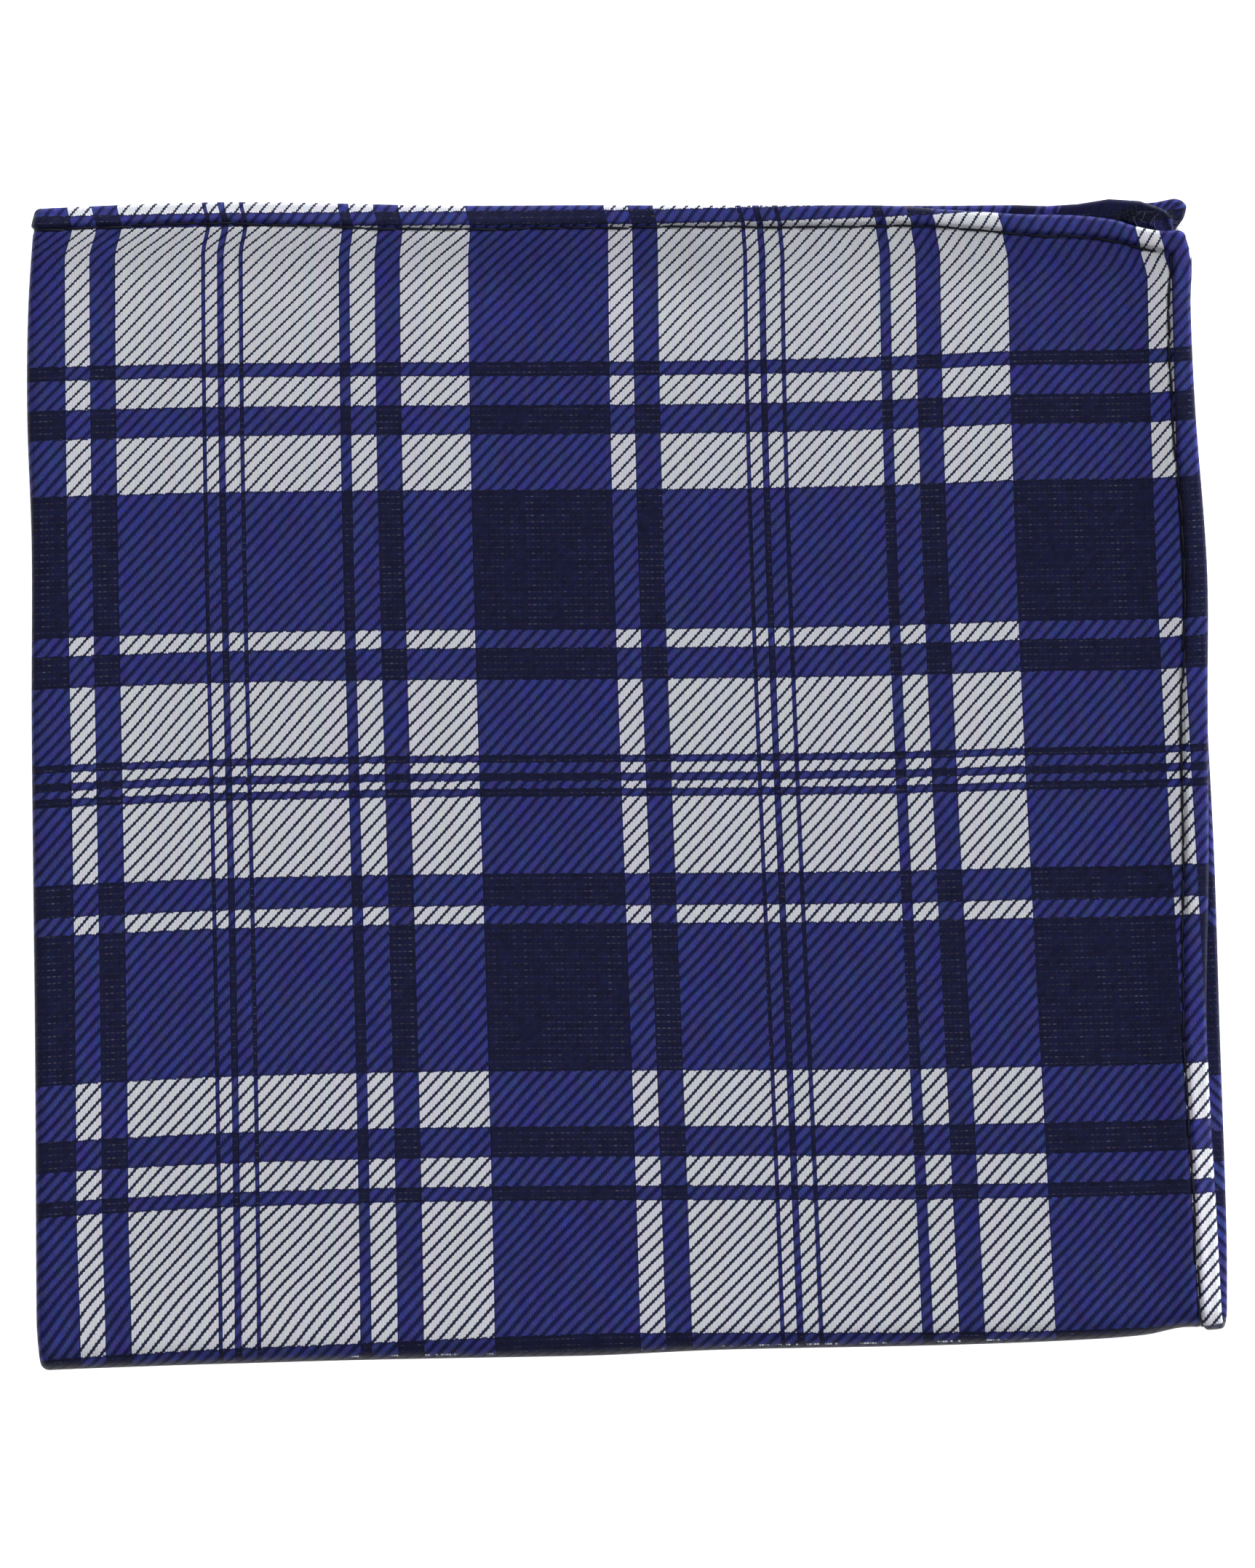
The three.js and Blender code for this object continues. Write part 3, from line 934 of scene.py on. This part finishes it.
def pale_dashes(recipe, u, v):
    """Short pale dashes in rows and columns, each of its own strength, in soft clusters."""
    row = recipe.whole_periods(v, DASH_ROW)
    column = recipe.whole_periods(u, DASH_COLUMN)
    in_length = recipe.soft_drop(recipe.from_middle(u, DASH_COLUMN), DASH_LENGTH / 2, softness=0.1)
    in_height = recipe.soft_drop(recipe.from_middle(v, DASH_ROW), DASH_HEIGHT / 2, softness=0.08)
    own = random_for(recipe, recipe.line(row, ROW_NUMBERS, column), seed=5).outputs["Value"]
    of_column = random_for(recipe, column, seed=9).outputs["Value"]
    cloud = soft_cloud(recipe, u, v, width=2.5, length=4, seed=23).outputs["Fac"]
    return recipe.product(
        in_length,
        in_height,
        recipe.line(own, slope=0.7, start=0.2),
        recipe.line(of_column, slope=DASH_STRENGTH, start=0.1),
        recipe.soft_step(cloud, edge=0.42, softness=0.3),
    )


def navy_cloth(recipe, u, v):
    """Navy yarns in two close tones, with the pale dashes."""
    cloud = soft_cloud(recipe, u, v, width=1.2, length=1.2, seed=11).outputs["Fac"]
    return recipe.blend(pale_dashes(recipe, u, v), recipe.blend(cloud, NAVY_DARK_TONE_AND_SHADE, NAVY_YARN), NAVY_DASH)


def lower_fold(recipe, colour, u, v, yarn, roundness, blue_across):
    """The colour with a painted shade along the fold's rim, and with the bead beside it: the
    middles of some white yarns, in patches, partly their own white and partly painted glints."""
    from_fold = recipe.node("ShaderNodeAttribute", attribute_name="from_fold").outputs["Fac"]
    # Painted shade: the cloth darkens towards navy over the rim of the lower fold.
    rim = recipe.soft_drop(recipe.math("ABSOLUTE", from_fold), RIM_WIDTH, RIM_SOFTNESS)
    colour = recipe.blend(recipe.product(rim, RIM_PAINTED_SHADE_STRENGTH), colour, NAVY_DARK_TONE_AND_SHADE)

    # The bead: white yarn colour in patches along the fold, partly painted glints.
    off_bead = recipe.math("ABSOLUTE", recipe.math("SUBTRACT", from_fold, BEAD_PLACE))
    cloud = soft_cloud(recipe, u, v, width=5, length=5, seed=21).outputs["Fac"]
    own = random_for(recipe, yarn, seed=2).outputs["Value"]
    bead = recipe.product(
        recipe.soft_drop(off_bead, BEAD_HALF_WIDTH, softness=0.06),
        recipe.math("SUBTRACT", 1, blue_across),
        recipe.soft_step(cloud, edge=0.5, softness=0.06),
        recipe.soft_step(u, BEAD_START, softness=4),
        recipe.soft_drop(roundness, edge=0.6, softness=0.4),
        recipe.soft_step(own, edge=0.35, softness=0.3),
    )
    return recipe.blend(bead, colour, WHITE_YARN)


def plaid_twill():
    """White, blue and navy twill with its lines of gaps, thin on white and wide on blue.

    Where only one way of the cloth is in a blue band it is blue, where both are it is navy,
    and where neither is it is white. The relief is high on the floats and low at their sides.
    """
    recipe = Recipe("plaid_twill")
    cloth = recipe.node("ShaderNodeUVMap", uv_map="cloth")
    parts = recipe.node("ShaderNodeSeparateXYZ")
    recipe.feed(parts.inputs[0], cloth.outputs[0])
    u, v = parts.outputs[0], parts.outputs[1]
    yarn, pick, roundness, from_line = twill_lines(recipe, u, v)

    height = toothed_height(recipe, v, yarn, roundness)
    across_depth = depth_in_blue(recipe, u, ACROSS_START, ACROSS_BANDS, 1)
    down_depth = depth_in_blue(recipe, height, DOWN_START, DOWN_BANDS, -1, blue_first=True)
    blue_across = recipe.soft_step(across_depth, 0, BAND_SOFTNESS)
    blue_down = recipe.soft_step(down_depth, 0, BAND_SOFTNESS)
    navy = recipe.product(blue_across, blue_down)
    blue = recipe.math("MAXIMUM", blue_across, blue_down)

    on_white, on_blue = line_widths(recipe, u, v, roundness)
    white_float = recipe.soft_step(from_line, on_white, softness=0.06)
    blue_float = recipe.soft_step(from_line, on_blue, softness=0.24)
    white_colour = white_cloth(recipe, yarn, roundness, white_float)
    blue_colour = blue_cloth(recipe, u, v, blue_float)
    colour = recipe.blend(blue, white_colour, blue_colour)
    colour = recipe.blend(navy, colour, navy_cloth(recipe, u, v))

    crossing = recipe.line(pick, PICK_NUMBERS, yarn)
    own = random_for(recipe, crossing, seed=17).outputs["Color"]
    varies = recipe.line(blue, BLUE_CROSSING_VARIES, CROSSING_VARIES)
    colour = recipe.blend(varies, colour, own, "OVERLAY")
    # Painted shade: the blue bands darken towards navy just inside their edges, upright and level.
    painted_side_shade = recipe.product(blue_across, recipe.soft_drop(across_depth, SIDE_PAINTED_SHADE_WIDTH, SIDE_PAINTED_SHADE_WIDTH))
    painted_foot_shade = recipe.product(blue_down, recipe.soft_drop(down_depth, FOOT_PAINTED_SHADE_WIDTH, FOOT_PAINTED_SHADE_WIDTH))
    colour = recipe.blend(recipe.product(painted_side_shade, SIDE_PAINTED_SHADE_STRENGTH), colour, NAVY_DARK_TONE_AND_SHADE)
    colour = recipe.blend(recipe.product(painted_foot_shade, FOOT_PAINTED_SHADE_STRENGTH), colour, NAVY_DARK_TONE_AND_SHADE)
    colour = lower_fold(recipe, colour, u, v, yarn, roundness, blue_across)

    relief = recipe.line(roundness, slope=-0.15, start=white_float)
    on_colour = recipe.line(blue, slope=-0.5, start=recipe.line(navy, slope=-0.3, start=1))
    bump = recipe.node("ShaderNodeBump")
    recipe.feed(bump.inputs["Strength"], on_colour)
    recipe.feed(bump.inputs["Height"], relief)
    bump.inputs["Distance"].default_value = TWILL_RELIEF * MM

    recipe.feed(recipe.shader.inputs["Base Color"], colour)
    recipe.feed(recipe.shader.inputs["Normal"], bump.outputs[0])
    recipe.feed(recipe.shader.inputs["Roughness"], recipe.line(relief, slope=-0.15, start=0.55))
    recipe.shader.inputs["Specular IOR Level"].default_value = 0.12
    return recipe.material


def fine_fibre(name, colour):
    """Sewing thread or loose yarn, a little glossy."""
    recipe = Recipe(name)
    recipe.shader.inputs["Base Color"].default_value = colour
    recipe.shader.inputs["Roughness"].default_value = 0.55
    recipe.shader.inputs["Specular IOR Level"].default_value = 0.3
    return recipe.material


# The lights: where each shines from, how wide it looks in degrees, and its strength.
LIGHTS = {
    "key_light": ((0.6, 0.65, 0.5), 35, 2.25),
    "top_rim_light": ((0.35, 0.95, 0.16), 25, 1.5),
    "right_rim_light": ((0.95, -0.1, 0.16), 25, 1.1),
    "left_light": ((-0.85, 0.15, 0.8), 50, 0.35),
    "near_light": ((0.1, -0.7, 1.1), 50, 0.16),
}
SKY_STRENGTH = 0.1

# The camera's height and the length of table that its long side shows, in metres, and the
# width of its sensor in millimetres.
CAMERA_HEIGHT = 1.0
SHOWN_LENGTH = 0.1634
SENSOR = 36


def pale_floor():
    """A pale glowing floor that can't be seen from below."""
    bpy.ops.mesh.primitive_plane_add(size=4)
    floor = bpy.context.object
    floor.name = "pale_floor"
    paper = Recipe("pale_paper")
    paper.shader.inputs["Base Color"].default_value = (0.93, 0.93, 0.93, 1)
    paper.shader.inputs["Roughness"].default_value = 0.9
    paper.shader.inputs["Emission Color"].default_value = (1, 1, 1, 1)
    paper.shader.inputs["Emission Strength"].default_value = 0.95
    from_below = paper.node("ShaderNodeNewGeometry").outputs["Backfacing"]
    paper.feed(paper.shader.inputs["Alpha"], paper.math("SUBTRACT", 1, from_below))
    floor.data.materials.append(paper.material)


def soft_light():
    """A faint even sky and wide lights, strongest from beyond the top right corner."""
    world = bpy.data.worlds.new("studio")
    world.use_nodes = True
    world.node_tree.nodes["Background"].inputs["Color"].default_value = (1, 1, 1, 1)
    world.node_tree.nodes["Background"].inputs["Strength"].default_value = SKY_STRENGTH
    bpy.context.scene.world = world

    for name, (towards, breadth, strength) in LIGHTS.items():
        lamp = bpy.data.lights.new(name, "SUN")
        lamp.angle = math.radians(breadth)
        lamp.energy = strength
        lamp_object = bpy.data.objects.new(name, lamp)
        bpy.context.collection.objects.link(lamp_object)
        lamp_object.location = towards
        side, away, height = towards
        tilt = -math.atan2(math.hypot(away, side), height)
        lamp_object.rotation_euler = (tilt, 0, -math.atan2(side, away))


def camera_above():
    """A long lens straight above the middle, with the folded square as large as in the photograph."""
    camera = bpy.data.cameras.new("camera")
    camera.sensor_width = SENSOR
    camera.lens = SENSOR * CAMERA_HEIGHT / SHOWN_LENGTH
    camera_object = bpy.data.objects.new("camera", camera)
    bpy.context.collection.objects.link(camera_object)
    camera_object.location = (0, 0, CAMERA_HEIGHT + MIDDLE_HEIGHT * 2 * MM)
    bpy.context.scene.camera = camera_object


bpy.context.scene.view_settings.view_transform = "Standard"
camera_above()
pale_floor()
soft_light()

sheet = folded_sheet()
sheet.data.materials.append(plaid_twill())
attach(sheet, "root")
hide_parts("folded_cloth")

stitches = hem_stitches()
stitches.data.materials.append(fine_fibre("sewing_thread", THREAD_COLOUR))
# Dark fibres: frayed threads, whose dense tuft also stands in for the shade under the corner.
dark_fibres_and_shade = loose_fibres("dark_fibres_and_shade", DARK_FIBRES_AND_SHADE, 12)
dark_fibres_and_shade.data.materials.append(fine_fibre("dark_fibre", DARK_FIBRE_COLOUR))
pale_fibres = loose_fibres("pale_fibres", PALE_FIBRES, 13)
pale_fibres.data.materials.append(fine_fibre("pale_fibre", PALE_FIBRE_COLOUR))
sewing = [stitches, dark_fibres_and_shade, pale_fibres]
for piece in sewing:
    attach(piece, "root")
